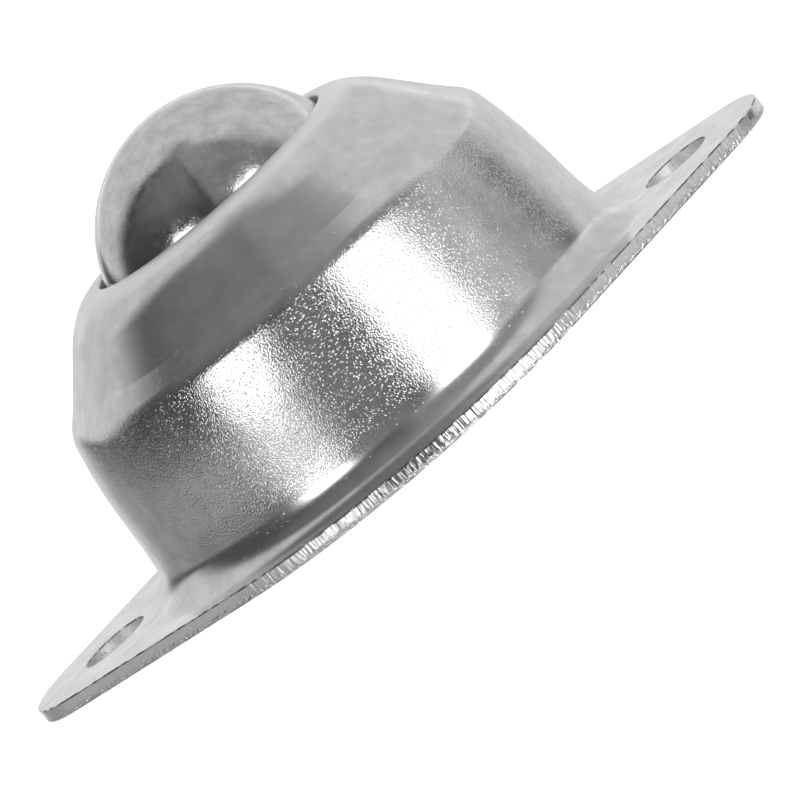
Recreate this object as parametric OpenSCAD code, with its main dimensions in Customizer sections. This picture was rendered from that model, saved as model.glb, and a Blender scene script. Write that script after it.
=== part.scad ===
// Ball transfer unit, pressed steel, with a two-hole lozenge flange.
// A hardened load ball rolls on many small support balls in a hemispherical race cup.
// One drawn sheet housing holds the ball down and carries the flange, and a nested
// base cover closes it from below and bears the cup.
//
// Millimetres. Origin: centre of the mounting face. +Z points to the load ball,
// +X runs through the two bolt holes.

/* [Load ball] */
// Diameter of the load ball
ball_d = 22.225; // [21:0.025:23]
// Height of the top of the load ball above the mounting face
unit_h = 29.8; // [29:0.1:33]

/* [Ball bed] */
// Diameter of one support ball
support_d = 3; // [2.4:0.1:3.4]
// Wall of the hardened race cup
cup_t = 1.2; // [0.8:0.1:1.6]
// Play between the support balls and each race they run on
race_play = 0.04; // [0.02:0.01:0.08]
// Play between neighbouring support balls
ball_play = 0.03; // [0.02:0.01:0.2]
// Angle that the top row of support balls stays below the ball's widest circle
top_row_drop = 5; // [3:1:20]

/* [Flange] */
// Thickness of the housing sheet
sheet_t = 1.15; // [0.8:0.05:1.5]
// Length over the two rounded ends
flange_l = 71.6; // [70:0.2:80]
// Width across the round middle
flange_w = 50; // [48:0.2:56]
// Radius of each rounded end
end_r = 7.2; // [5:0.1:9]
// Distance between the two bolt holes
hole_spacing = 56; // [55:0.5:60]
// Diameter of each bolt hole
hole_d = 5.8; // [4.2:0.1:6.4]

/* [Housing drum] */
// Diameter of the drum where its wall meets the flange
drum_d = 43.8; // [42:0.1:46]
// Lean of the lower wall
wall_taper = 5; // [3:0.5:7]
// Height at which the wall starts to lean in more
wall_break_h = 11.45; // [9:0.05:12.5]
// Lean of the upper wall, below the shoulder
upper_taper = 14; // [10:0.5:20]
// Lean of the cone above the shoulder
cone_taper = 40.6; // [38:0.2:44]
// Lean of the crown between the cone and the lip
crown_taper = 56; // [50:1:64]
// Width of the level lip around the ball
lip_w = 1.7; // [1.2:0.1:2.4]
// How far the lip reaches in past the ball's widest circle
lip_hold = 0.2; // [0.1:0.02:0.4]
// Gap between the lip and the ball
lip_gap = 0.2; // [0.1:0.02:0.4]

/* [Housing bends] */
// Hollow bend between the flange and the drum
flange_bend_r = 2.8; // [1.5:0.1:3.5]
// Soft bend in the wall
wall_bend_r = 18; // [10:1:24]
// Bend of the shoulder
shoulder_r = 4; // [2.5:0.1:5]
// Bend from the cone to the crown
crown_r = 12; // [6:0.5:16]
// Bend from the crown to the lip
lip_bend_r = 3; // [1.8:0.1:4]
// Rounding of the lip's cut edge
lip_edge_r = 0.2; // [0.1:0.05:0.4]

/* [Base cover] */
// Thickness of the base cover sheet
cover_t = 1; // [0.6:0.1:1.2]
// How far the cover's foot stays above the mounting face
foot_recess = 0.15; // [0.05:0.05:0.4]
// Depth of the dish that the race cup sits in
dish_depth = 0.7; // [0.5:0.05:1.2]
// Bend at the cover's shoulder
cover_bend_r = 1.6; // [1.3:0.1:2.5]
// Diameter of the hole in the middle of the cover
drain_d = 5; // [3:0.5:6]
// Clearance where the cup and the cover seat
seat_play = 0.02; // [0.01:0.01:0.05]

/* [Hidden] */
$fn = 128;
BEND_STEPS = 12;
EPS = 0.01;

// Share of a stretch that one bend may take up, so that two bends never meet
BEND_REACH = 0.49;

ball_r = ball_d / 2;
ball_z = unit_h - ball_r;
support_r = support_d / 2;

// The support balls' centres lie on a sphere around the load ball's centre
pitch_r = ball_r + race_play + support_r;
cup_in_r = pitch_r + support_r + race_play;
cup_out_r = cup_in_r + cup_t;
row_step = 2 * asin((support_d + ball_play) / 2 / pitch_r);
support_rows = floor((90 - top_row_drop) / row_step) + 1;

// Lip: its lower edge clears the ball by lip_gap, and its bore is narrower than the ball
throat_r = ball_r - lip_hold;
lip_under_z = ball_z - lip_edge_r + sqrt(pow(ball_r + lip_gap + lip_edge_r, 2) - pow(throat_r + lip_edge_r, 2));
lip_z = lip_under_z + sheet_t;

// Lozenge flange
end_x = flange_l / 2 - end_r;
middle_r = flange_w / 2;
tangent_angle = acos((middle_r - end_r) / end_x);

// ---- Sheet-metal profiles: a path of corners, each with its own bend radius ----

function unit_vector(v) = v / norm(v);
function turned(v, angle) = [v[0] * cos(angle) - v[1] * sin(angle), v[0] * sin(angle) + v[1] * cos(angle)];
function reversed(list) = [for (i = [len(list) - 1 : -1 : 0]) list[i]];

// Direction of a wall that leans in by the given angle as it rises
function leaning(taper) = [-sin(taper), cos(taper)];

// Point where the line through p along u meets the line through q along v
function meeting(p, u, q, v) = p + u * cross(q - p, v) / cross(u, v);

// Unit vector to the left of the way from a to b
function left_of(a, b) = turned(unit_vector(b - a), 90);

// Path moved to its left by t, with every stretch kept parallel
function shifted(path, t) = [
    for (i = [0 : len(path) - 1])
        let (
            a = left_of(path[max(i - 1, 0)], path[max(i, 1)]),
            b = left_of(path[min(i, len(path) - 2)], path[min(i + 1, len(path) - 1)])
        )
        path[i] + t * (a + b) / (1 + a * b)
];

// Bend radii of the moved path: less on the inside of a left bend, more on a right one
function shifted_radii(path, radii, t) = [
    for (i = [0 : len(path) - 1])
        let (is_end = i == 0 || i == len(path) - 1)
        is_end ? radii[i] : radii[i] - t * sign(cross(path[i] - path[i - 1], path[i + 1] - path[i]))
];

// Arc that rounds one corner; its reach is limited by the stretches beside it
function bend(before, corner, after, radius) =
    let (
        u = before - corner,
        v = after - corner,
        half = acos(unit_vector(u) * unit_vector(v)) / 2,
        reach = min(radius / tan(half), norm(u) * BEND_REACH, norm(v) * BEND_REACH),
        r = reach * tan(half),
        centre = corner + unit_vector(unit_vector(u) + unit_vector(v)) * r / sin(half),
        spoke = corner + unit_vector(u) * reach - centre,
        turn = (180 - 2 * half) * sign(cross(-u, v))
    )
    [for (i = [0 : BEND_STEPS]) centre + turned(spoke, turn * i / BEND_STEPS)];

// Closed outline through the corners; a radius of 0 leaves a corner sharp
function bent_outline(corners, radii) =
    let (n = len(corners))
    [
        for (i = [0 : n - 1])
            each radii[i] <= 0
                ? [corners[i]]
                : bend(corners[(i + n - 1) % n], corners[i], corners[(i + 1) % n], radii[i])
    ];

// Sheet of thickness t whose outer face follows the path, with its material on the left
module sheet_profile(path, radii, t) {
    back = shifted(path, t);
    back_radii = shifted_radii(path, radii, t);
    polygon(bent_outline(concat(path, reversed(back)), concat(radii, reversed(back_radii))));
}

// ---- Outer face of the housing, from the flange to the lip ----

wall_foot = [drum_d / 2, sheet_t];
wall_break = meeting(wall_foot, leaning(wall_taper), [0, wall_break_h], [1, 0]);

// The cone's inner face rests on the top edge of the race cup
cup_edge = [cup_out_r, ball_z];
cone_point = cup_edge + (sheet_t + seat_play) * turned(leaning(cone_taper), -90);
shoulder = meeting(wall_break, leaning(upper_taper), cone_point, leaning(cone_taper));
lip_corner = [throat_r + lip_w, lip_z];
crown = meeting(cone_point, leaning(cone_taper), lip_corner, leaning(crown_taper));

housing_path = [
    [flange_l, sheet_t],
    wall_foot,
    wall_break,
    shoulder,
    crown,
    lip_corner,
    [throat_r, lip_z]
];
housing_radii = [0, flange_bend_r, wall_bend_r, shoulder_r, crown_r, lip_bend_r, lip_edge_r];

// ---- Pieces ----

module lozenge() {
    c = cos(tangent_angle);
    s = sin(tangent_angle);
    side = [[end_x + end_r * c, end_r * s], [middle_r * c, middle_r * s]];
    circle(middle_r);
    for (way = [-1, 1])
        translate([way * end_x, 0])
            circle(end_r);
    polygon([
        for (p = side) p,
        for (p = reversed(side)) [-p[0], p[1]],
        for (p = side) [-p[0], -p[1]],
        for (p = reversed(side)) [p[0], -p[1]]
    ]);
}

module housing() {
    color([0.80, 0.81, 0.82])
        difference() {
            intersection() {
                rotate_extrude()
                    sheet_profile(housing_path, housing_radii, sheet_t);
                linear_extrude(height = unit_h)
                    lozenge();
            }
            for (way = [-1, 1])
                translate([way * hole_spacing / 2, 0, -sheet_t])
                    cylinder(d = hole_d, h = 3 * sheet_t);
        }
}

module race_cup() {
    color([0.55, 0.56, 0.58])
        translate([0, 0, ball_z])
            rotate_extrude()
                intersection() {
                    difference() {
                        circle(cup_out_r);
                        circle(cup_in_r);
                    }
                    translate([0, -cup_out_r - EPS])
                        square(cup_out_r + EPS);
                }
}

// Nested in the flared mouth of the housing; its foot is level with the mounting face
module base_cover() {
    plate_z = ball_z - cup_out_r + dish_depth;
    inner_face = shifted(housing_path, sheet_t + seat_play);
    inner_radii = shifted_radii(housing_path, housing_radii, sheet_t + seat_play);
    plate_corner = meeting(inner_face[1], leaning(wall_taper), [0, plate_z], [1, 0]);
    path = [inner_face[0], inner_face[1], plate_corner, [0, plate_z]];
    radii = [0, inner_radii[1], cover_bend_r, 0];
    dish_r = cup_out_r + seat_play;
    color([0.72, 0.73, 0.74])
        rotate_extrude()
            difference() {
                union() {
                    intersection() {
                        sheet_profile(path, radii, cover_t);
                        translate([0, foot_recess])
                            square([drum_d, unit_h]);
                    }
                    intersection() {
                        translate([0, ball_z])
                            circle(dish_r + cover_t);
                        square([drum_d / 2, plate_z]);
                    }
                }
                translate([0, ball_z])
                    circle(dish_r);
                square([drain_d / 2, unit_h]);
            }
}

module load_ball() {
    color([0.86, 0.87, 0.88])
        translate([0, 0, ball_z])
            sphere(ball_r);
}

// One level ring of support balls, counted up from the single ball at the bottom
module support_ball_row(row) {
    tilt = row * row_step;
    ring_r = pitch_r * sin(tilt);
    count = row == 0 ? 1 : floor(180 / asin((support_d + ball_play) / 2 / ring_r));
    color([0.70, 0.72, 0.75])
        translate([0, 0, ball_z - pitch_r * cos(tilt)])
            for (i = [0 : count - 1])
                rotate([0, 0, i * 360 / count])
                    translate([ring_r, 0, 0])
                        sphere(support_r);
}

housing();
race_cup();
base_cover();
load_ball();
for (row = [0 : support_rows - 1])
    support_ball_row(row);
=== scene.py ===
# %% [markdown]
# # A ball transfer unit in drawn, zinc plated steel
#
# The real thing is a roller that can roll every way: a hardened steel ball the size of a
# marble looks out of a drawn sheet-steel housing, and the housing carries a lozenge flange
# with two bolt holes. Underneath, a nested cover bears a hardened cup full of small balls.
#
# The solids come packed, as a frame that doesn't move. This script dresses them: it makes the
# camera, the studio, one finer surface for the drawn housing, and the finishes of every piece.
# The solids that are already the right shape, such as the balls, keep their own mesh.

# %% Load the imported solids
import math

import bpy
import numpy as np
from mathutils import Matrix, Vector
from mathutils.geometry import delaunay_2d_cdt


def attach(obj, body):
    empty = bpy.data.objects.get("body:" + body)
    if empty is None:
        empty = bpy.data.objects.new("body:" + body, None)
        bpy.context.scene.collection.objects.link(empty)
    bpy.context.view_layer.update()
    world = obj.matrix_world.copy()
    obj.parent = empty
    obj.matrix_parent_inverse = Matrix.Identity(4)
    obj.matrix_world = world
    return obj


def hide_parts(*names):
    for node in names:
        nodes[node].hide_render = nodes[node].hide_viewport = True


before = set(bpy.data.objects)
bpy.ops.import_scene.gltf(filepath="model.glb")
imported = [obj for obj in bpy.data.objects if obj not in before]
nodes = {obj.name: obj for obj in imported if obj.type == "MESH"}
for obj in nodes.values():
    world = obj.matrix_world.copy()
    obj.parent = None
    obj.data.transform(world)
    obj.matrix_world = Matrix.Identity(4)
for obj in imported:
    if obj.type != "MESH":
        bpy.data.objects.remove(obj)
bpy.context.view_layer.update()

MM = 0.001
scene = bpy.context.scene
print(len(nodes), "solids in the frame:", ", ".join(sorted(nodes)))

# %% [markdown]
# ## Plain tones
#
# Bare metal in a studio has clean whites where a softbox is mirrored and deep greys
# beside it. Blender's filmic transforms would pull both towards the middle, so the plain
# Standard transform is used, which shows each tone as it is.

# %% Tones
scene.view_settings.view_transform = "Standard"
scene.view_settings.look = "None"


def colour(code):
    """Linear RGBA from an sRGB hex code: each channel is divided by 12.92 near black,
    and otherwise shifted, scaled and raised to the power 2.4."""
    channels = [int(code[i:i + 2], 16) / 255 for i in (1, 3, 5)]
    linear = [c / 12.92 if c <= 0.04045 else ((c + 0.055) / 1.055) ** 2.4 for c in channels]
    return (*linear, 1.0)


print("Tones:", scene.view_settings.view_transform)

# %% [markdown]
# ## The camera
#
# A long lens from more than half a metre keeps the flange's two ends nearly the same size. The
# camera stands in front, nine degrees above the flange, and is rolled clockwise, so that the
# unit stands on a slant with its ball to the upper left. A look-at turn gives the aim, and a
# second turn about the line of sight gives the roll.

# %% Camera
CAMERA_PLACE = Vector((53.09, -591.35, 95.20)) * MM
CAMERA_AIM = Vector((0.474, 0.202, 1.002)) * MM
CAMERA_ROLL = math.radians(41.35)
SENSOR_WIDTH = 36.0  # mm, a full-frame sensor
LENS = 357.7  # mm

camera = bpy.data.objects.new("camera", bpy.data.cameras.new("camera"))
scene.collection.objects.link(camera)
camera.data.sensor_width = SENSOR_WIDTH
camera.data.lens = LENS
sight = (CAMERA_AIM - CAMERA_PLACE).normalized()
upright = sight.to_track_quat("-Z", "Y").to_matrix().to_4x4()
camera.matrix_world = (
    Matrix.Translation(CAMERA_PLACE) @ Matrix.Rotation(CAMERA_ROLL, 4, sight) @ upright
)
scene.camera = camera
print("Camera", round((CAMERA_AIM - CAMERA_PLACE).length / MM), "mm from its aim")

# %% [markdown]
# ## A helper for nodes
#
# Blender's materials and its world are trees of nodes. This one function adds a node with its
# settings. For each input it sets a value, or links an output socket. A whole node may stand for
# its first output. Two kinds, Map Range and Mix, have inputs that are best named by number, so
# the numbers get names here.

# %% One function that adds a node
VALUE, LOW, HIGH, TO_LOW, TO_HIGH = range(5)  # inputs of Map Range
SHARE, FIRST, SECOND = 0, 2, 3  # inputs of Mix between two numbers
FIRST_COLOUR, SECOND_COLOUR, COLOUR_OUT = 6, 7, 2  # Mix between two colours, and its output


def add(tree, kind, inputs=None, **settings):
    """Adds a node. An input is given by its name or number, with a value, a socket or a node."""
    node = tree.nodes.new(kind)
    for name, value in settings.items():
        setattr(node, name, value)
    for key, value in (inputs or {}).items():
        if isinstance(value, bpy.types.Node):
            value = value.outputs[0]
        if isinstance(value, bpy.types.NodeSocket):
            tree.links.new(value, node.inputs[key])
        else:
            node.inputs[key].default_value = value
    return node


print("Node helper ready")

# %% [markdown]
# ## The studio
#
# Polished metal has hardly a colour of its own. It shows the room, so the room is designed
# first. The unit stands on a shining white table. Behind it and over it hangs a bright paper
# sweep. In front the studio is dim, apart from two tall softboxes to the left and right of the
# camera, which give the drum its burnt-out white patches. Grey walls at the sides, a weak
# ceiling in front and the softbox's own image in the table fill the rest: each is one of the
# facets that show on the ball, the cone and the cut edge.
#
# Area lamps could do it, but the room is wanted soft and all around, so it is painted on the
# world: each light is a window in direction, with soft edges in azimuth and in height.

# %% Lights of the room
ROOM_TONE = 0.055  # of everything between the lights
BACKDROP = 1.0  # plain white behind the unit, which only the camera sees
# Azimuth, half width and blur of the upright edges in degrees, lowest and highest sine of
# elevation, blur of the level edges, and brightness. A sine beyond -1 or 1 leaves that side open.
LIGHTS = {
    "paper sweep": (75, 80, 20, 0.16, 0.985, 0.07, 0.86),
    "foot of the sweep": (76, 42, 14, -0.45, 0.20, 0.20, 0.92),
    "right wall": (-25, 13, 16, -0.45, 0.40, 0.30, 0.62),
    "back of the right wall": (2, 19, 8, -0.45, 0.16, 0.20, 0.44),
    "softbox at the right": (-52, 13, 5, -0.45, 0.56, 0.08, 4.6),
    "softbox at the left": (-127, 11, 5, 0.13, 0.54, 0.08, 5.0),
    "its dim middle part": (-127, 14, 5, -0.10, 0.13, 0.08, 0.62),
    "its mirror image in the table": (-127, 13, 5, -0.45, -0.10, 0.08, 2.1),
    "left wall": (-162, 21, 10, -0.45, 0.04, 0.12, 0.50),
    "low back, left": (145, 32, 12, -0.45, 0.03, 0.12, 0.38),
    "low front": (-95, 16, 5, -0.45, 0.50, 0.20, 0.15),
    "ceiling in front": (-142, 46, 10, 0.74, 1.5, 0.30, 0.14),
    "ceiling at the right": (-46, 40, 10, 0.50, 1.5, 0.20, 0.27),
    "ceiling": (0, 180, 10, 0.93, 1.5, 0.12, 0.06),
    "table": (0, 180, 10, -1.5, -0.45, 0.14, 0.50),
}
print(len(LIGHTS), "lights around the unit")

# %% The world that they are painted on
HALF_TURN = 180  # degrees

world = bpy.data.worlds.new("studio")
scene.world = world
world.use_nodes = True
tree = world.node_tree
tree.nodes.clear()
direction = add(tree, "ShaderNodeTexCoord").outputs["Generated"]
rise = add(tree, "ShaderNodeSeparateXYZ", {0: direction}).outputs["Z"]
flat = add(tree, "ShaderNodeVectorMath", {0: direction, 1: (1, 1, 0)}, operation="MULTIPLY")
heading = add(tree, "ShaderNodeVectorMath", {0: flat}, operation="NORMALIZE")

total = ROOM_TONE
for azimuth, half, blur, low, high, soft, strength in LIGHTS.values():
    turn = math.radians(azimuth)
    aim = (math.cos(turn), math.sin(turn), 0)
    facing = add(tree, "ShaderNodeVectorMath", {0: heading, 1: aim},
                 operation="DOT_PRODUCT").outputs["Value"]
    outer = math.cos(math.radians(min(half + blur / 2, HALF_TURN)))
    inner = math.cos(math.radians(max(half - blur / 2, 0)))
    lit = strength
    # Three soft steps: in from the sides, up over the lower edge, and out at the upper edge
    for value, start, end, before, after in (
            (facing, outer, inner, 0, 1),
            (rise, low - soft / 2, low + soft / 2, 0, 1),
            (rise, high - soft / 2, high + soft / 2, 1, 0)):
        step = add(tree, "ShaderNodeMapRange",
                   {VALUE: value, LOW: start, HIGH: end, TO_LOW: before, TO_HIGH: after},
                   interpolation_type="SMOOTHSTEP")
        lit = add(tree, "ShaderNodeMath", {0: step, 1: lit}, operation="MULTIPLY")
    total = add(tree, "ShaderNodeMath", {0: lit, 1: total}, operation="ADD")

room = add(tree, "ShaderNodeBackground", {"Strength": total})
pale = add(tree, "ShaderNodeBackground", {"Strength": BACKDROP})
seen = add(tree, "ShaderNodeLightPath").outputs["Is Camera Ray"]
mixed = add(tree, "ShaderNodeMixShader", {0: seen, 1: room, 2: pale})
add(tree, "ShaderNodeOutputWorld", {"Surface": mixed})
print("World of", len(tree.nodes), "nodes")

# %% [markdown]
# ## The table
#
# A light table is a sheet of opal acrylic lit from below: small objects stand on it with hardly
# a shadow. It is a plain round sheet, made from one ring of points. Its mirror image is left
# out of the metal, so that the metal shows only the studio's own lights.

# %% Table
TABLE_RADIUS = 2.5  # m
TABLE_POINTS = 96
TABLE_DROP = 0.1 * MM  # the table lies this much below the flange, so that they don't touch
TABLE_GLOW = 0.82
TABLE_ROUGHNESS = 0.6

around = np.linspace(0, 2 * math.pi, TABLE_POINTS, endpoint=False)
ring = np.stack([np.cos(around), np.sin(around), 0 * around], 1) * TABLE_RADIUS
ring[:, 2] = -TABLE_DROP
table_mesh = bpy.data.meshes.new("table")
table_mesh.from_pydata(ring.tolist(), [], [list(range(len(ring)))])
table = bpy.data.objects.new("table", table_mesh)
scene.collection.objects.link(table)
opal = bpy.data.materials.new("opal_acrylic")
opal.use_nodes = True
shader = opal.node_tree.nodes["Principled BSDF"]
shader.inputs["Base Color"].default_value = colour("#F4F4F4")
shader.inputs["Roughness"].default_value = TABLE_ROUGHNESS
shader.inputs["Emission Color"].default_value = colour("#FFFFFF")
shader.inputs["Emission Strength"].default_value = TABLE_GLOW
table_mesh.materials.append(opal)
table.visible_glossy = False
print("Table", 2 * TABLE_RADIUS, "m across")

# %% [markdown]
# ## The drawn housing, first its profile
#
# The housing starts as a flat blank. A press draws the drum, sets the cone and curls the lip
# in over the ball, then cuts the flange and pierces the holes. So its body is one sheet of even
# thickness turned about the ball's axis: a path of straight stretches, each joined to the next
# by a bend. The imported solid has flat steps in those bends, which a mirror-like finish shows. A
# Bevel modifier could soften the steps, but it knows nothing of each bend's radius, so the finer
# surface here works out each bend as an arc, with its true normals.
#
# Pressed sheet also has fine forms that only mirrored light gives away. The wall flares a little
# just above the flange, a faint ring stays low on the cone where the draw ended, and the lip
# rolls over softly. They are corners of the same path, each of a few degrees.

# %% Sizes of the housing, in millimetres
SHEET = 1.15
BALL_R = 22.225 / 2
UNIT_TOP_Z = 29.8
BALL_Z = UNIT_TOP_Z - BALL_R
SUPPORT_BALL_D, RUNNING_PLAY, CUP_WALL = 3, 0.04, 1.2
CUP_OUT_R = BALL_R + RUNNING_PLAY + SUPPORT_BALL_D + RUNNING_PLAY + CUP_WALL
SEAT_PLAY = 0.02
FOOT_R = 43.8 / 2
LIP_W = 1.7
LIP_HOLD = 0.2  # how far the throat is inside the ball's widest circle
THROAT_R = BALL_R - LIP_HOLD
LIP_GAP = 0.2
LIP_EDGE_R = 0.2
LIP_CLEAR_R = BALL_R + LIP_GAP + LIP_EDGE_R
MIDDLE_R = 25.0
END_R = 7.2
FLANGE_LENGTH = 71.6
END_X = FLANGE_LENGTH / 2 - END_R
HOLE_X = 28.0
HOLE_R = 2.9
# Heights where the outer face changes its lean
FLARE_Z, BREAK_Z, DRAW_LINE_Z = 4.9, 11.45, 17.1
# Lean of each stretch of the outer face, in degrees from upright
FLARE_TAPER, WALL_TAPER, UPPER_TAPER = 9.5, 5, 14
RING_TAPER, CONE_TAPER, CROWN_TAPER = 43.5, 40.6, 56
# Outer radius of each bend, from the foot up
FOOT_BEND, FLARE_BEND, WALL_BEND, SHOULDER_BEND = 3.0, 24, 34, 3
DRAW_LINE_BEND, CROWN_BEND, LIP_BEND = 3, 9, 4.2
print("Ball", 2 * BALL_R, "mm across, sheet", SHEET, "mm thick, flange", FLANGE_LENGTH, "mm long")

# %% Straight stretches of the path


def leaning(taper):
    """Unit direction (-sin a, cos a) of a wall that leans in by a = taper degrees as it rises."""
    return np.array([-math.sin(math.radians(taper)), math.cos(math.radians(taper))])


def meeting(p, u, q, v):
    """Where the line through p along u meets the line through q along v: p plus u times the
    determinant of q - p and v, over the determinant of u and v."""
    return p + u * np.linalg.det([q - p, v]) / np.linalg.det([u, v])


print("Path helpers ready")

# %% Corners of the outer path
lip_under = BALL_Z - LIP_EDGE_R + math.sqrt(LIP_CLEAR_R ** 2 - (THROAT_R + LIP_EDGE_R) ** 2)
lip_z = lip_under + SHEET
level = np.array([1, 0])
wall, cone = leaning(WALL_TAPER), leaning(CONE_TAPER)
flare = meeting(np.array([FOOT_R, SHEET]), wall, np.array([0, FLARE_Z]), level)
foot = meeting(flare, leaning(FLARE_TAPER), np.array([0, SHEET]), level)
wall_break = meeting(flare, wall, np.array([0, BREAK_Z]), level)
outward = np.array([cone[1], -cone[0]])
cone_point = np.array([CUP_OUT_R, BALL_Z]) + (SHEET + SEAT_PLAY) * outward
draw_line = meeting(cone_point, cone, np.array([0, DRAW_LINE_Z]), level)
shoulder = meeting(wall_break, leaning(UPPER_TAPER), draw_line, leaning(RING_TAPER))
lip_corner = np.array([THROAT_R + LIP_W, lip_z])
crown = meeting(cone_point, cone, lip_corner, leaning(CROWN_TAPER))
outer_path = np.array([(2 * MIDDLE_R, SHEET), foot, flare, wall_break, shoulder,
                       draw_line, crown, lip_corner, (THROAT_R, lip_z)])
outer_bends = np.array([0, FOOT_BEND, FLARE_BEND, WALL_BEND, SHOULDER_BEND, DRAW_LINE_BEND,
                        CROWN_BEND, LIP_BEND, LIP_EDGE_R])
print("Lip", round(lip_z, 2), "mm up; shoulder at", np.round(shoulder, 2))

# %% Profile through the bends


def shifted(path, bends, thickness):
    """The path moved to its left by the thickness: each corner goes along the sum of the two
    left-hand normals a and b, divided by 1 + a.b. A left-hand bend gets tighter by the
    thickness and a right-hand bend gets wider."""
    ahead = np.diff(path, axis=0)
    ahead /= np.linalg.norm(ahead, axis=1)[:, None]
    left = np.stack([-ahead[:, 1], ahead[:, 0]], 1)
    a, b = np.vstack([left[:1], left]), np.vstack([left, left[-1:]])
    side = np.zeros(len(path))
    side[1:-1] = np.sign(ahead[:-1, 0] * ahead[1:, 1] - ahead[:-1, 1] * ahead[1:, 0])
    moved = path + thickness * (a + b) / (1 + (a * b).sum(1))[:, None]
    return moved, bends - thickness * side


def bent(path, bends, degrees_per_step=5.0):
    """Points and outward normals along a path whose inner corners are rounded: a corner with
    half angle h and radius r is an arc that starts r / tan(h) before the corner."""
    points, normals = [], []
    for before, corner, after, radius in zip(path[:-2], path[1:-1], path[2:], bends[1:-1]):
        u = (before - corner) / np.linalg.norm(before - corner)
        v = (after - corner) / np.linalg.norm(after - corner)
        half = math.acos(u @ v) / 2
        turn = math.pi - 2 * half
        centre = corner + (u + v) / np.linalg.norm(u + v) * radius / math.sin(half)
        spoke = corner + u * radius / math.tan(half) - centre
        sign = math.copysign(1, u[1] * v[0] - u[0] * v[1])
        steps = max(3, round(math.degrees(turn) / degrees_per_step))
        t = sign * np.linspace(0, turn, steps + 1)[:, None]
        arm = np.hstack([spoke[0] * np.cos(t) - spoke[1] * np.sin(t),
                         spoke[0] * np.sin(t) + spoke[1] * np.cos(t)])
        points.append(centre + arm)
        normals.append(sign * arm / radius)
    return np.vstack(points), np.vstack(normals)


print("Profile helpers ready")

# %% [markdown]
# ## The turned body of the sheet
#
# The outer path and the inner one, which is the same path moved in by the sheet's thickness, are
# joined at the lip into one line. Turned about the axis it is the body of the housing: the
# surface is (r(s) cos t, r(s) sin t, z(s)), where s runs along the line and t runs round the
# axis. A Screw modifier could turn the line too, but when it is worked out as arrays, each point
# brings its true normal along. The last column is joined to the first, so the seam is closed.

# %% Turned body
TURN_STEPS = 432
# Heights in mm between which the orange peel fades in above the foot and out at the shoulder
PEEL_FROM, PEEL_TO = (3.0, 5.0), (14.8, 15.9)

inner_path, inner_bends = shifted(outer_path, outer_bends, SHEET)
profile, profile_normals = bent(np.vstack([outer_path, inner_path[::-1]]),
                                np.hstack([outer_bends, inner_bends[::-1]]))
lip_row = int(np.argmin(profile[:, 0]))


def smooth(x, low, high):
    """Soft step: 3 u^2 - 2 u^3 of the share u of the way from low to high."""
    u = np.clip((x - low) / (high - low), 0, 1)
    return u * u * (3 - 2 * u)


def turned(line, normals, steps):
    """Surface of revolution: every profile point (r, z) goes round the axis to
    (r cos t, r sin t, z), and its normal (nr, nz) to (nr cos t, nr sin t, nz)."""
    t = np.linspace(0, 2 * math.pi, steps, endpoint=False)[None, :]
    ones = np.ones_like(t)
    place = [line[:, :1] * np.cos(t), line[:, :1] * np.sin(t), line[:, 1:] * ones]
    facing = [normals[:, :1] * np.cos(t), normals[:, :1] * np.sin(t), normals[:, 1:] * ones]
    return np.stack(place, 2), np.stack(facing, 2)


body, body_normals = turned(profile, profile_normals, TURN_STEPS)
peel = smooth(profile[:, 1], *PEEL_FROM) * (1 - smooth(profile[:, 1], *PEEL_TO))
peel[lip_row:] = 0  # the inner side stays smooth
print("Body:", body.shape[0], "rings of", body.shape[1], "points")

# %% [markdown]
# ## The cut edges of the flange
#
# A punch doesn't cut like a knife. It first drags the top face down into a small round, called
# the die roll, then shears a bright band with fine upright lines, and at last the metal tears
# and leaves a dull, slightly ragged band that slopes in. A Boolean cut would leave one plain
# wall, so the outline and both holes get all three as real shape instead: strips of rows that
# follow the outline, each row set in and lowered by the cut's own section, with seeded
# unevenness along the tear.

# %% Outline of the flange and section of a cut
OUTLINE_STEPS = 1500
HOLE_STEPS = 160
ARC_POINTS = 400
ROLL_W, ROLL_H, ROLL_ROWS = 0.11, 0.10, 6
HOLE_ROLL_W = ROLL_W / 3  # a punched hole drags its rim down less than the trimmed outline
TEAR_Z, TEAR_IN = 0.36, 0.045
COARSE_CELL, FINE_CELL = 9, 3  # cells of unevenness, in steps of the outline
COARSE_WANDER, FINE_WANDER = 0.10, 0.04  # up and down, of the line where the tear begins
SHEAR_RIPPLE, TEAR_RIPPLE, TEAR_WAVE = 0.004, 0.022, 0.02  # in and out


def lozenge(steps):
    """Points and normal angles at even spacing round the outline: an arc about each end, an arc
    about the middle on each side, and the straight tangents between them."""
    tangent = math.acos((MIDDLE_R - END_R) / END_X)
    arcs = [(END_X, END_R, -tangent, tangent), (0, MIDDLE_R, tangent, math.pi - tangent),
            (-END_X, END_R, math.pi - tangent, math.pi + tangent),
            (0, MIDDLE_R, math.pi + tangent, 2 * math.pi - tangent)]
    angle = np.hstack([np.linspace(a, b, ARC_POINTS) for _, _, a, b in arcs]
                      + [2 * math.pi - tangent])
    centre = np.hstack([np.full(ARC_POINTS, x) for x, _, _, _ in arcs] + [END_X])
    radius = np.hstack([np.full(ARC_POINTS, r) for _, r, _, _ in arcs] + [END_R])
    x, y = centre + radius * np.cos(angle), radius * np.sin(angle)
    length = np.hstack([0, np.cumsum(np.hypot(np.diff(x), np.diff(y)))])
    at = np.linspace(0, length[-1], steps, endpoint=False)
    place = np.stack([np.interp(at, length, x), np.interp(at, length, y)], 1)
    return place, np.interp(at, length, angle)


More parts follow.
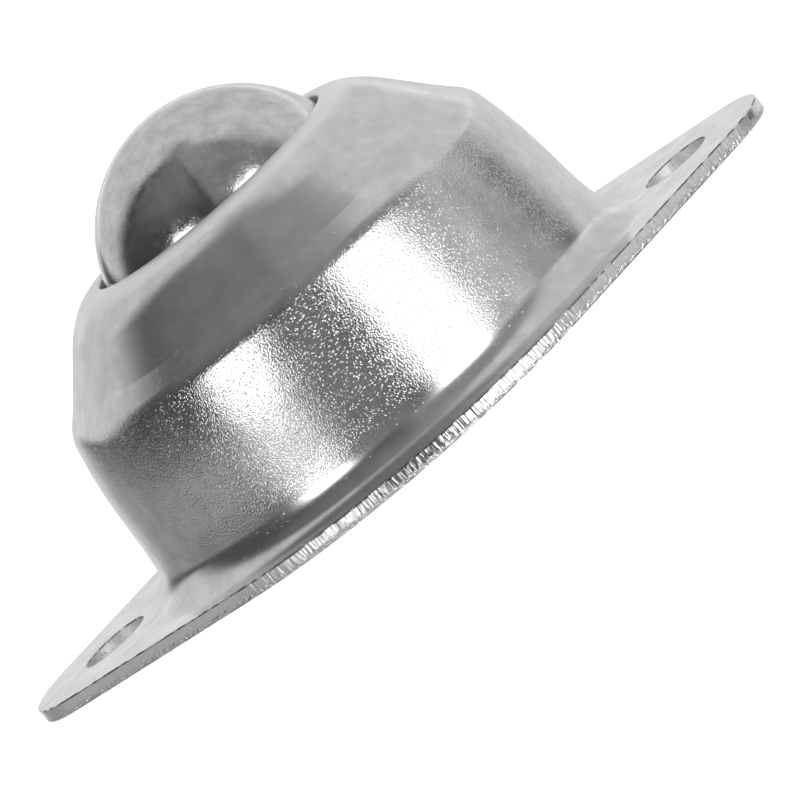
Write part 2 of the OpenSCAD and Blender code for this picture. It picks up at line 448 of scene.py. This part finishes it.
def uneven(steps, cells, seed):
    """Smooth random height from -1 to 1 round a closed line: seeded values at evenly spaced
    cells, joined by soft steps, so that the end meets the start."""
    values = np.random.default_rng(seed).uniform(-1, 1, cells)
    at = np.arange(steps) * cells / steps
    cell = at.astype(int)
    share = smooth(at - cell, 0, 1)
    return values[cell] * (1 - share) + values[(cell + 1) % cells] * share


print(OUTLINE_STEPS, "points round the flange and", HOLE_STEPS, "round each hole")

# %% Strips of the cut edges


def cut_strip(points, angle, hole, seed):
    """Rows of a cut edge from the top face down: die roll as a quarter ellipse, upright sheared
    band, and torn band that slopes in. Its inset is measured against the outward normal, so a
    hole, whose metal lies outside, uses the opposite sign."""
    steps = len(points)
    coarse = uneven(steps, steps // COARSE_CELL, seed)
    fine = uneven(steps, steps // FINE_CELL, seed + 1)
    tear_z = TEAR_Z + COARSE_WANDER * coarse + FINE_WANDER * fine
    bow = np.linspace(0, math.pi / 2, ROLL_ROWS)[:, None]
    roll = HOLE_ROLL_W if hole else ROLL_W
    rows_in = [roll * (1 - np.sin(bow)) + 0 * coarse[None]]
    rows_z = [SHEET - ROLL_H * (1 - np.cos(bow)) + 0 * coarse[None]]
    for share in (0.5, 1.0):
        rows_in.append(SHEAR_RIPPLE * (1 + fine[None]) * share)
        rows_z.append((SHEET - ROLL_H) * (1 - share) + tear_z[None] * share)
    for step, share in enumerate((0.25, 0.5, 0.75, 1.0)):
        ragged = TEAR_RIPPLE * uneven(steps, steps // FINE_CELL, seed + 2 + step) * (share < 1)
        rows_in.append((SHEAR_RIPPLE + TEAR_IN * share + ragged + TEAR_WAVE * coarse)[None])
        rows_z.append((tear_z * (1 - share))[None])
    inset, height = np.vstack(rows_in).clip(0), np.vstack(rows_z)
    way = inset if hole else -inset
    x = points[:, 0] + way * np.cos(angle)
    y = points[:, 1] + way * np.sin(angle)
    return np.stack([x, y, height], 2)


OUTLINE_SEED, HOLE_SEED = 11, 40
outline, outline_angle = lozenge(OUTLINE_STEPS)
strips = [cut_strip(outline, outline_angle, False, OUTLINE_SEED)]
round_hole = np.linspace(0, 2 * math.pi, HOLE_STEPS, endpoint=False)
for side in (-1, 1):
    rim = np.stack([side * HOLE_X + HOLE_R * np.cos(round_hole), HOLE_R * np.sin(round_hole)], 1)
    strips.append(cut_strip(rim, round_hole, True, HOLE_SEED + side))
print("Cut edges:", [strip.shape[:2] for strip in strips])

# %% [markdown]
# ## The flat faces, and all of it in one mesh
#
# The top and the underside of the flange are flat, with a round middle and two holes left open.
# One many-sided face can't have holes, and a grid wouldn't meet the borders. A constrained
# Delaunay triangulation fills such a shape from its border points alone, and as it adds none,
# every border is shared with its neighbour and the sheet is watertight. The normals are set
# from the true shape, so that a flat face mirrors as a flat face right up to its border.

# %% Patches of the sheet
SAME_POINT = 1e-7  # mm, points closer than this count as one


def grid_faces(rows, columns, start, flip):
    """Quads of a grid whose last column meets its first, as numbers of its points."""
    i, j = np.meshgrid(np.arange(rows - 1), np.arange(columns), indexing="ij")
    k = (j + 1) % columns
    quads = np.stack([i * columns + j, i * columns + k, (i + 1) * columns + k,
                      (i + 1) * columns + j], 2).reshape(-1, 4) + start
    return quads[:, ::-1] if flip else quads


def strip_normals(grid, flip):
    """Normal of a closed strip: the cross product of its slopes along and across the rows."""
    along = np.roll(grid, -1, 1) - np.roll(grid, 1, 1)
    across = np.gradient(grid, axis=0)
    normal = np.cross(along, across) * (-1 if flip else 1)
    return normal / np.linalg.norm(normal, axis=2)[:, :, None]


def flat_faces(points, loops):
    """Triangles between closed loops of numbered points, without those inside the body's circle
    or a hole."""
    numbers = np.hstack(loops)
    local = np.arange(len(numbers))
    starts = np.cumsum([0] + [len(loop) for loop in loops])
    edges = np.vstack([np.stack([local[a:b], np.roll(local[a:b], -1)], 1)
                       for a, b in zip(starts[:-1], starts[1:])])
    flat = [Vector(p) for p in points[numbers, :2].tolist()]
    _, _, faces, origin, _, _ = delaunay_2d_cdt(flat, edges.tolist(), [], 0, SAME_POINT)
    back = np.array([group[0] for group in origin])
    triangles = numbers[back[np.array(faces)]]
    middle = points[triangles, :2].mean(1)
    rings = [np.hypot(*points[loops[1], :2].T).mean()] + [HOLE_R] * 2
    centres = [(0, 0), (-HOLE_X, 0), (HOLE_X, 0)]
    keep = np.ones(len(triangles), bool)
    for radius, centre in zip(rings, centres):
        keep &= np.hypot(*(middle - centre).T) > radius
    return triangles[keep]


print("Patch helpers ready")

# %% Points, normals and faces of all the patches
grids = [body] + strips
starts = np.cumsum([0] + [grid.shape[0] * grid.shape[1] for grid in grids])
points = np.vstack([grid.reshape(-1, 3) for grid in grids])
flips = [False, True, False, False]  # the outline's strip turns the other way
vertex_normals = np.vstack([body_normals.reshape(-1, 3)] + [
    strip_normals(grid, flip).reshape(-1, 3) for grid, flip in zip(strips, flips[1:])])
quads = [grid_faces(*grid.shape[:2], start, flip)
         for grid, start, flip in zip(grids, starts, flips)]


def border(grid_number, row):
    """Numbers of the points in a grid's first row (0) or its last (-1)."""
    rows, columns = grids[grid_number].shape[:2]
    return starts[grid_number] + np.arange(columns) + (row % rows) * columns


top = flat_faces(points, [border(1, 0), border(0, 0), border(2, 0), border(3, 0)])
under = flat_faces(points, [border(1, -1), border(0, -1), border(2, -1), border(3, -1)])[:, ::-1]
print("Flat faces:", len(top), "and", len(under), "triangles")

# %% The housing's mesh
faces = quads[0].tolist() + np.vstack(quads[1:]).tolist() + top.tolist() + under.tolist()
counts = [len(quads[0]), sum(len(q) for q in quads[1:]), len(top), len(under)]
corner_normals = np.vstack([
    vertex_normals[np.vstack(quads).ravel()],
    np.tile([0, 0, 1.0], (3 * len(top), 1)),
    np.tile([0, 0, -1.0], (3 * len(under), 1))])

mesh = bpy.data.meshes.new("drawn_housing")
mesh.from_pydata((points * MM).tolist(), [], faces)
mesh.polygons.foreach_set("use_smooth", [True] * len(faces))
cut_faces = np.zeros(len(faces), np.int32)
cut_faces[counts[0]:counts[0] + counts[1]] = 1  # the strips get the second finish
mesh.polygons.foreach_set("material_index", cut_faces)
amount = mesh.attributes.new("orange_peel", "FLOAT", "POINT")
amount.data.foreach_set("value", np.hstack([
    np.repeat(peel, TURN_STEPS), np.zeros(len(points) - starts[1])]).astype(np.float32))
mesh.normals_split_custom_set(corner_normals.tolist())
housing = bpy.data.objects.new("drawn_housing", mesh)
scene.collection.objects.link(housing)
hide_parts("housing")
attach(housing, "housing")
print("Housing:", len(points), "points,", len(faces), "faces")

# %% [markdown]
# ## The zinc plate on the drawn sheet
#
# Barrel plated zinc is a bright, slightly hazy and cloudy grey metal. Over the cone, the bends
# and the flange, where the tools pressed and ironed the sheet, it is satin with a few nicks. Over
# the drum's free wall, where the sheet was stretched without touching a tool, the steel's
# crystals stand up as orange peel: a leathery grain, which breaks the mirrored softboxes into
# sparkle. The lip is rubbed matt and pale, with short marks along the ring, by all that rolled
# over it.
#
# The real grains are a few hundredths of a millimetre. They wouldn't show with the whole unit in
# view, so every fine pattern here is drawn coarser, at the smallest width that shows. As real
# shape they would take millions of faces, so they are bumps in the material. The peel is a
# noise, and its pits are a pattern of cells, both kept to the wall by the mesh's own attribute.
# The rub marks are noise on coordinates that follow the ring: the arc length, shortened so that
# the marks grow long, the radius and the height.

# %% Starting a material
PER_MM = 1 / MM  # a noise scale of PER_MM / w gives features about w millimetres wide


def new_material(name, base, roughness):
    """A material with its tree, its Principled shader and the object coordinates."""
    material = bpy.data.materials.new(name)
    material.use_nodes = True
    tree = material.node_tree
    shader = tree.nodes["Principled BSDF"]
    shader.inputs["Base Color"].default_value = colour(base)
    shader.inputs["Metallic"].default_value = 1.0
    shader.inputs["Roughness"].default_value = roughness
    place = add(tree, "ShaderNodeTexCoord").outputs["Object"]
    return material, tree, shader, place


print("Patterns are scaled by", round(PER_MM), "per metre")

# %% Zinc plated drawn sheet, its tone
ZINC, DULL_ZINC, CLEAR_ZINC, RUBBED_ZINC = "#D6D7D8", "#CDCECF", "#DDDEDF", "#F2F2F3"
CLOUD_SIZE = 2.2  # mm, like the clouds on real plating
CLOUD_FROM, CLOUD_TO = 0.35, 0.65  # noise from here to here goes from dull to clear
HAZE_FROM, HAZE_TO = 0.3, 0.7
CLOUDY_ROUGHNESS, CLEAR_ROUGHNESS, PEEL_ROUGHNESS, LIP_ROUGHNESS = 0.24, 0.18, 0.09, 0.34
ZINC_METALLIC, LIP_METALLIC = 0.93, 0.50  # the rest is a matt film of oxide and rubbed dirt
RUB_BELOW, RUB_FULL = 0.9, 0.35  # mm under the lip's top

zinc, tree, shader, place = new_material("zinc_plated_drawn_steel", ZINC, CLEAR_ROUGHNESS)
peeled = add(tree, "ShaderNodeAttribute", attribute_name="orange_peel").outputs["Fac"]
split = add(tree, "ShaderNodeSeparateXYZ", {0: place})
rubbed = add(tree, "ShaderNodeMapRange", {
    VALUE: split.outputs["Z"], LOW: (lip_z - RUB_BELOW) * MM, HIGH: (lip_z - RUB_FULL) * MM})
clouds = add(tree, "ShaderNodeTexNoise", {
    "Vector": place, "Scale": PER_MM / CLOUD_SIZE, "Detail": 5, "Roughness": 0.6})
cloudy = add(tree, "ShaderNodeMapRange", {VALUE: clouds, LOW: CLOUD_FROM, HIGH: CLOUD_TO})
tint = add(tree, "ShaderNodeMix", {
    SHARE: cloudy, FIRST_COLOUR: colour(DULL_ZINC), SECOND_COLOUR: colour(CLEAR_ZINC)},
    data_type="RGBA").outputs[COLOUR_OUT]
tint = add(tree, "ShaderNodeMix", {
    SHARE: rubbed, FIRST_COLOUR: tint, SECOND_COLOUR: colour(RUBBED_ZINC)},
    data_type="RGBA").outputs[COLOUR_OUT]
tree.links.new(tint, shader.inputs["Base Color"])
haze = add(tree, "ShaderNodeMapRange", {
    VALUE: clouds, LOW: HAZE_FROM, HIGH: HAZE_TO,
    TO_LOW: CLOUDY_ROUGHNESS, TO_HIGH: CLEAR_ROUGHNESS})
haze = add(tree, "ShaderNodeMix", {SHARE: rubbed, FIRST: haze, SECOND: LIP_ROUGHNESS})
haze = add(tree, "ShaderNodeMix", {SHARE: peeled, FIRST: haze, SECOND: PEEL_ROUGHNESS})
tree.links.new(haze.outputs[0], shader.inputs["Roughness"])
metal = add(tree, "ShaderNodeMapRange", {
    VALUE: rubbed, TO_LOW: ZINC_METALLIC, TO_HIGH: LIP_METALLIC})
tree.links.new(metal.outputs[0], shader.inputs["Metallic"])
print("Zinc from", DULL_ZINC, "to", CLEAR_ZINC)

# %% Zinc plated drawn sheet, its satin, nicks and rub marks
# Widths and depths in mm. FROM and TO are the values of a noise where a mark begins and is full.
SATIN_GRAIN, SATIN_DEPTH = 0.16, 0.0012
NICK_SIZE, NICK_DEPTH = 0.24, 0.010
NICK_FROM, NICK_TO = 0.70, 0.78
RUB_WIDTH, RUB_DEPTH = 0.16, 0.012
RUB_FROM, RUB_TO = 0.54, 0.66
RUB_STRETCH = 3.5  # how many times longer than wide a rub mark is
RUB_RADIUS = 12.0  # of the ring, at which arc lengths are measured

satin = add(tree, "ShaderNodeTexNoise", {
    "Vector": place, "Scale": PER_MM / SATIN_GRAIN, "Detail": 3})
relief = add(tree, "ShaderNodeBump", {"Height": satin, "Distance": SATIN_DEPTH * MM})
nicks = add(tree, "ShaderNodeTexNoise", {
    "Vector": place, "Scale": PER_MM / NICK_SIZE, "Detail": 1})
nicks = add(tree, "ShaderNodeMapRange", {VALUE: nicks, LOW: NICK_FROM, HIGH: NICK_TO})
relief = add(tree, "ShaderNodeBump", {
    "Height": nicks, "Distance": NICK_DEPTH * MM, "Normal": relief})
turn = add(tree, "ShaderNodeMath", {0: split.outputs["Y"], 1: split.outputs["X"]},
           operation="ARCTAN2")
arc = add(tree, "ShaderNodeMath", {0: turn, 1: RUB_RADIUS * MM / RUB_STRETCH},
          operation="MULTIPLY")
level_place = add(tree, "ShaderNodeCombineXYZ", {
    "X": split.outputs["X"], "Y": split.outputs["Y"]})
radius = add(tree, "ShaderNodeVectorMath", {0: level_place}, operation="LENGTH")
along_ring = add(tree, "ShaderNodeCombineXYZ", {
    "X": arc, "Y": radius.outputs["Value"], "Z": split.outputs["Z"]})
rubs = add(tree, "ShaderNodeTexNoise", {"Vector": along_ring, "Scale": PER_MM / RUB_WIDTH})
rubs = add(tree, "ShaderNodeMapRange", {VALUE: rubs, LOW: RUB_FROM, HIGH: RUB_TO})
rubs = add(tree, "ShaderNodeMath", {0: rubs, 1: rubbed}, operation="MULTIPLY")
relief = add(tree, "ShaderNodeBump", {
    "Height": rubs, "Distance": RUB_DEPTH * MM, "Normal": relief})
print("Rub marks", RUB_WIDTH, "mm wide and", round(RUB_WIDTH * RUB_STRETCH, 2), "mm long")

# %% Zinc plated drawn sheet, its orange peel
PEEL_GRAIN, PEEL_DEPTH = 0.14, 0.026  # mm
PIT_SPACING, PIT_DEPTH = 0.21, 0.020  # mm
PIT_EDGE = 0.35  # of the spacing, from a pit's middle to its edge

grain = add(tree, "ShaderNodeTexNoise", {"Vector": place, "Scale": PER_MM / PEEL_GRAIN})
grain = add(tree, "ShaderNodeMath", {0: grain, 1: peeled}, operation="MULTIPLY")
relief = add(tree, "ShaderNodeBump", {
    "Height": grain, "Distance": PEEL_DEPTH * MM, "Normal": relief})
cells = add(tree, "ShaderNodeTexVoronoi", {"Vector": place, "Scale": PER_MM / PIT_SPACING})
pits = add(tree, "ShaderNodeMapRange", {
    VALUE: cells.outputs["Distance"], LOW: 0, HIGH: PIT_EDGE})
pits = add(tree, "ShaderNodeMath", {0: pits, 1: peeled}, operation="MULTIPLY")
relief = add(tree, "ShaderNodeBump", {
    "Height": pits, "Distance": PIT_DEPTH * MM, "Normal": relief})
tree.links.new(relief.outputs[0], shader.inputs["Normal"])
housing.data.materials.append(zinc)
print("Orange peel", PEEL_GRAIN, "mm wide and", PEEL_DEPTH, "mm deep")

# %% [markdown]
# ## The cut edge
#
# Under the die roll lies the sheared band, brighter and smoother than the faces, with upright
# lines from the punch where the edge curves. Along the die roll runs a broken line of painted
# shade, a darker base colour. The torn band below the sheared one is duller and grainy. A painted
# strip would have to be unrolled along the outline first. Noise on coordinates that are squeezed
# in height makes the lines without that, and the height itself tells the bands apart. The walls
# of the holes are duller than the outline.

# %% Sheared steel edge, its tone and the painted shade at the die roll
# The second colour is painted shade, the dark grey of the broken line along the die roll.
SHEARED, PAINTED_ROLL_SHADE = "#E2E3E5", "#808183"
SHEAR_ROUGHNESS, TORN_ROUGHNESS, HOLE_ROUGHNESS = 0.10, 0.30, 0.55
TORN_TO, SHEAR_FROM = 0.18, 0.50  # mm up
# Heights and pieces of the painted shade along the die roll
SHADE_FROM, SHADE_TO = 1.02, 1.05  # mm up, at the die roll
SHADE_BREAK = 0.9  # mm, length of the pieces of the broken line
PIECE_FROM, PIECE_TO = 0.44, 0.52
HOLE_ZONE, HOLE_ZONE_END = HOLE_R + 0.2, HOLE_R + 0.4  # mm from a hole's axis

cut_steel, tree, shader, place = new_material("sheared_steel_edge", SHEARED, SHEAR_ROUGHNESS)
split = add(tree, "ShaderNodeSeparateXYZ", {0: place})
torn = add(tree, "ShaderNodeMapRange", {
    VALUE: split.outputs["Z"], LOW: TORN_TO * MM, HIGH: SHEAR_FROM * MM, TO_LOW: 1, TO_HIGH: 0})
reach = add(tree, "ShaderNodeMath", {0: split.outputs["X"]}, operation="ABSOLUTE")
beside = add(tree, "ShaderNodeMath", {0: reach, 1: HOLE_X * MM}, operation="SUBTRACT")
offset = add(tree, "ShaderNodeCombineXYZ", {"X": beside, "Y": split.outputs["Y"]})
from_hole = add(tree, "ShaderNodeVectorMath", {0: offset}, operation="LENGTH")
bored = add(tree, "ShaderNodeMapRange", {
    VALUE: from_hole.outputs["Value"], LOW: HOLE_ZONE * MM, HIGH: HOLE_ZONE_END * MM,
    TO_LOW: 1, TO_HIGH: 0})
blur = add(tree, "ShaderNodeMapRange", {
    VALUE: torn, TO_LOW: SHEAR_ROUGHNESS, TO_HIGH: TORN_ROUGHNESS})
blur = add(tree, "ShaderNodeMix", {SHARE: bored, FIRST: blur, SECOND: HOLE_ROUGHNESS})
tree.links.new(blur.outputs[0], shader.inputs["Roughness"])
# Painted shade: the base colour darkens in a broken line high on the edge, at the die roll.
high = add(tree, "ShaderNodeMapRange", {
    VALUE: split.outputs["Z"], LOW: SHADE_FROM * MM, HIGH: SHADE_TO * MM})
pieces = add(tree, "ShaderNodeTexNoise", {"Vector": place, "Scale": PER_MM / SHADE_BREAK})
pieces = add(tree, "ShaderNodeMapRange", {VALUE: pieces, LOW: PIECE_FROM, HIGH: PIECE_TO})
painted_shade = add(tree, "ShaderNodeMath", {0: high, 1: pieces}, operation="MULTIPLY")
tint = add(tree, "ShaderNodeMix", {
    SHARE: painted_shade, FIRST_COLOUR: colour(SHEARED), SECOND_COLOUR: colour(PAINTED_ROLL_SHADE)},
    data_type="RGBA")
tree.links.new(tint.outputs[COLOUR_OUT], shader.inputs["Base Color"])
print("Torn up to", SHEAR_FROM, "mm")

# %% Sheared steel edge, its relief
LINE_WIDTH, LINE_DEPTH = 0.24, 0.10
LINE_SQUEEZE = 0.08  # of the height, so that the lines stand upright
CURVE_ENDS, STRAIGHT_BEGINS = 14, 19  # mm from the middle, along the flange
STRAIGHT_LINES = 0.35  # share of the lines' depth on the straight edges
GRIT_SIZE, GRIT_DEPTH = 0.30, 0.22
CHIP_SIZE, CHIP_DEPTH = 0.30, 0.05
CHIP_FROM, CHIP_TO = 0.66, 0.72
MIDDLE_TONE = 0.5  # of a noise, so that grit goes up and down

grit = add(tree, "ShaderNodeTexNoise", {"Vector": place, "Scale": PER_MM / GRIT_SIZE})
grit = add(tree, "ShaderNodeMath", {0: grit, 1: MIDDLE_TONE}, operation="SUBTRACT")
grit = add(tree, "ShaderNodeMath", {0: grit, 1: torn}, operation="MULTIPLY")
relief = add(tree, "ShaderNodeBump", {"Height": grit, "Distance": GRIT_DEPTH * MM})
chips = add(tree, "ShaderNodeTexNoise", {
    "Vector": place, "Scale": PER_MM / CHIP_SIZE, "Detail": 1})
chips = add(tree, "ShaderNodeMapRange", {VALUE: chips, LOW: CHIP_FROM, HIGH: CHIP_TO})
relief = add(tree, "ShaderNodeBump", {
    "Height": chips, "Distance": CHIP_DEPTH * MM, "Normal": relief})
squeezed = add(tree, "ShaderNodeMapping", {"Vector": place, "Scale": (1, 1, LINE_SQUEEZE)})
lines = add(tree, "ShaderNodeTexNoise", {"Vector": squeezed, "Scale": PER_MM / LINE_WIDTH})
fading = add(tree, "ShaderNodeMapRange", {
    VALUE: reach, LOW: CURVE_ENDS * MM, HIGH: STRAIGHT_BEGINS * MM,
    TO_LOW: 1, TO_HIGH: STRAIGHT_LINES})
lines = add(tree, "ShaderNodeMath", {0: lines, 1: fading}, operation="MULTIPLY")
relief = add(tree, "ShaderNodeBump", {
    "Height": lines, "Distance": LINE_DEPTH * MM, "Normal": relief})
tree.links.new(relief.outputs[0], shader.inputs["Normal"])
housing.data.materials.append(cut_steel)
print("Housing finishes:", zinc.name, "and", cut_steel.name)

# %% [markdown]
# ## The load ball
#
# A bearing ball is lapped until it mirrors, but this one has rolled under loads, so its mirror
# is a little blurred and cloudy, with fine pocks. Its steel is darker than zinc. The support
# balls are of the same steel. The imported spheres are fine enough, so they keep their mesh. A
# pattern wrapped round a ball would pinch at its poles, so the clouds and pocks are noises on
# the ball's own coordinates, and they turn with it.

# %% Polished bearing steel
BALL_STEEL, DULL_STEEL, CLEAR_STEEL = "#CBCCCE", "#BEBFC1", "#D7D8DA"
BALL_METALLIC = 0.94  # the rest is a thin film of oil and dust
SHARP_ROUGHNESS, SMEARED_ROUGHNESS = 0.06, 0.17
# Widths and depths in mm. The pocks are drawn coarser than real ones, so that they show.
BALL_CLOUD, BALL_CLOUD_FROM, BALL_CLOUD_TO = 1.6, 0.36, 0.62
SMEAR_SIZE, SMEAR_FROM, SMEAR_TO = 0.5, 0.35, 0.65
POCK_SIZE, POCK_DEPTH, POCK_FROM, POCK_TO = 0.15, 0.003, 0.55, 0.70
LAPPED_WAVE, LAPPED_DEPTH = 0.8, 0.0016

ball_steel, tree, shader, place = new_material(
    "polished_bearing_steel", BALL_STEEL, SHARP_ROUGHNESS)
shader.inputs["Metallic"].default_value = BALL_METALLIC
clouds = add(tree, "ShaderNodeTexNoise", {
    "Vector": place, "Scale": PER_MM / BALL_CLOUD, "Detail": 6, "Roughness": 0.65})
cloudy = add(tree, "ShaderNodeMapRange", {
    VALUE: clouds, LOW: BALL_CLOUD_FROM, HIGH: BALL_CLOUD_TO})
tint = add(tree, "ShaderNodeMix", {
    SHARE: cloudy, FIRST_COLOUR: colour(DULL_STEEL), SECOND_COLOUR: colour(CLEAR_STEEL)},
    data_type="RGBA")
tree.links.new(tint.outputs[COLOUR_OUT], shader.inputs["Base Color"])
smears = add(tree, "ShaderNodeTexNoise", {
    "Vector": place, "Scale": PER_MM / SMEAR_SIZE, "Detail": 4})
smears = add(tree, "ShaderNodeMapRange", {
    VALUE: smears, LOW: SMEAR_FROM, HIGH: SMEAR_TO,
    TO_LOW: SHARP_ROUGHNESS, TO_HIGH: SMEARED_ROUGHNESS})
tree.links.new(smears.outputs[0], shader.inputs["Roughness"])
waves = add(tree, "ShaderNodeTexNoise", {
    "Vector": place, "Scale": PER_MM / LAPPED_WAVE, "Detail": 3})
relief = add(tree, "ShaderNodeBump", {"Height": waves, "Distance": LAPPED_DEPTH * MM})
pocks = add(tree, "ShaderNodeTexNoise", {
    "Vector": place, "Scale": PER_MM / POCK_SIZE, "Detail": 1})
pocks = add(tree, "ShaderNodeMapRange", {VALUE: pocks, LOW: POCK_FROM, HIGH: POCK_TO})
relief = add(tree, "ShaderNodeBump", {
    "Height": pocks, "Distance": POCK_DEPTH * MM, "Normal": relief})
tree.links.new(relief.outputs[0], shader.inputs["Normal"])
for name in nodes:
    if name == "load_ball" or name.startswith("support_balls_row"):
        nodes[name].material_slots[0].material = ball_steel
print("Balls:", ball_steel.name)

# %% [markdown]
# ## The race cup and the base cover
#
# The cup is hardened and ground, so it shows fine rings. The cover is the same plated sheet as
# the housing, but the tools touched it all over, so it has no orange peel, only the haze of the
# plating. Both are covered by the housing from most sides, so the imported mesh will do, and only
# the finish is new. The rings are a noise that hardly changes on the level and quickly in height.

# %% Ground hardened cup
CUP_STEEL, CUP_ROUGHNESS = "#B4B5B8", 0.32
RING_WIDTH, RING_DEPTH = 0.15, 0.004  # mm, drawn coarser than real grinding marks
RING_STRETCH = 0.05  # of the level coordinates, so that the marks run round
CUP_CLOUD = 2.5  # mm
CUP_SHARP, CUP_DULL = 0.26, 0.38  # roughness

cup_steel, tree, shader, place = new_material("ground_hardened_steel", CUP_STEEL, CUP_ROUGHNESS)
level_place = add(tree, "ShaderNodeMapping", {
    "Vector": place, "Scale": (RING_STRETCH, RING_STRETCH, 1)})
rings = add(tree, "ShaderNodeTexNoise", {
    "Vector": level_place, "Scale": PER_MM / RING_WIDTH, "Detail": 3})
relief = add(tree, "ShaderNodeBump", {"Height": rings, "Distance": RING_DEPTH * MM})
tree.links.new(relief.outputs[0], shader.inputs["Normal"])
haze = add(tree, "ShaderNodeTexNoise", {"Vector": place, "Scale": PER_MM / CUP_CLOUD})
haze = add(tree, "ShaderNodeMapRange", {
    VALUE: haze, LOW: HAZE_FROM, HIGH: HAZE_TO, TO_LOW: CUP_SHARP, TO_HIGH: CUP_DULL})
tree.links.new(haze.outputs[0], shader.inputs["Roughness"])
nodes["race_cup"].material_slots[0].material = cup_steel
print("Cup:", cup_steel.name)

# %% Zinc plated cover
COVER_ROUGHNESS, COVER_CLEAR, COVER_HAZY = 0.30, 0.24, 0.36
COVER_CLOUD = 4.0  # mm
COVER_GRAIN, COVER_DEPTH = 0.2, 0.002  # mm, drawn coarser than the real grain

cover_zinc, tree, shader, place = new_material(
    "zinc_plated_pressed_cover", DULL_ZINC, COVER_ROUGHNESS)
haze = add(tree, "ShaderNodeTexNoise", {
    "Vector": place, "Scale": PER_MM / COVER_CLOUD, "Detail": 3})
haze = add(tree, "ShaderNodeMapRange", {
    VALUE: haze, LOW: HAZE_FROM, HIGH: HAZE_TO, TO_LOW: COVER_CLEAR, TO_HIGH: COVER_HAZY})
tree.links.new(haze.outputs[0], shader.inputs["Roughness"])
grain = add(tree, "ShaderNodeTexNoise", {
    "Vector": place, "Scale": PER_MM / COVER_GRAIN, "Detail": 3})
relief = add(tree, "ShaderNodeBump", {"Height": grain, "Distance": COVER_DEPTH * MM})
tree.links.new(relief.outputs[0], shader.inputs["Normal"])
nodes["base_cover"].material_slots[0].material = cover_zinc
print("Cover:", cover_zinc.name)
